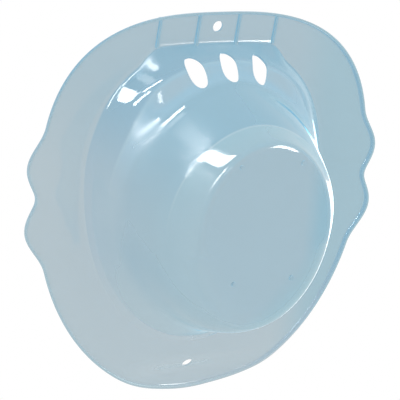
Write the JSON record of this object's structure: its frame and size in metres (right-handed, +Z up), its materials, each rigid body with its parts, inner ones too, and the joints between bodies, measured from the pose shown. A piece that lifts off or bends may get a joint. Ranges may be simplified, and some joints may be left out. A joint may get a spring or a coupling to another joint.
{
  "type": "sitz bath",
  "caption": "Translucent blue plastic sitz bath: a shallow stepped bowl with a broad gripped rim, vent slots in its back wall, ribs under the rim and small feet.",
  "frame": {"origin": "under the middle of the bath, level with the tips of its feet", "axes": "+Z up out of the bowl, +Y towards the back with the vent slots, +X across"},
  "size_m": [0.4051, 0.3942, 0.13],
  "materials": {
    "blue_plastic": "glossy see-through moulding"
  },
  "bodies": {
    "root": {"basin": "blue_plastic"}
  },
  "joints": []
}
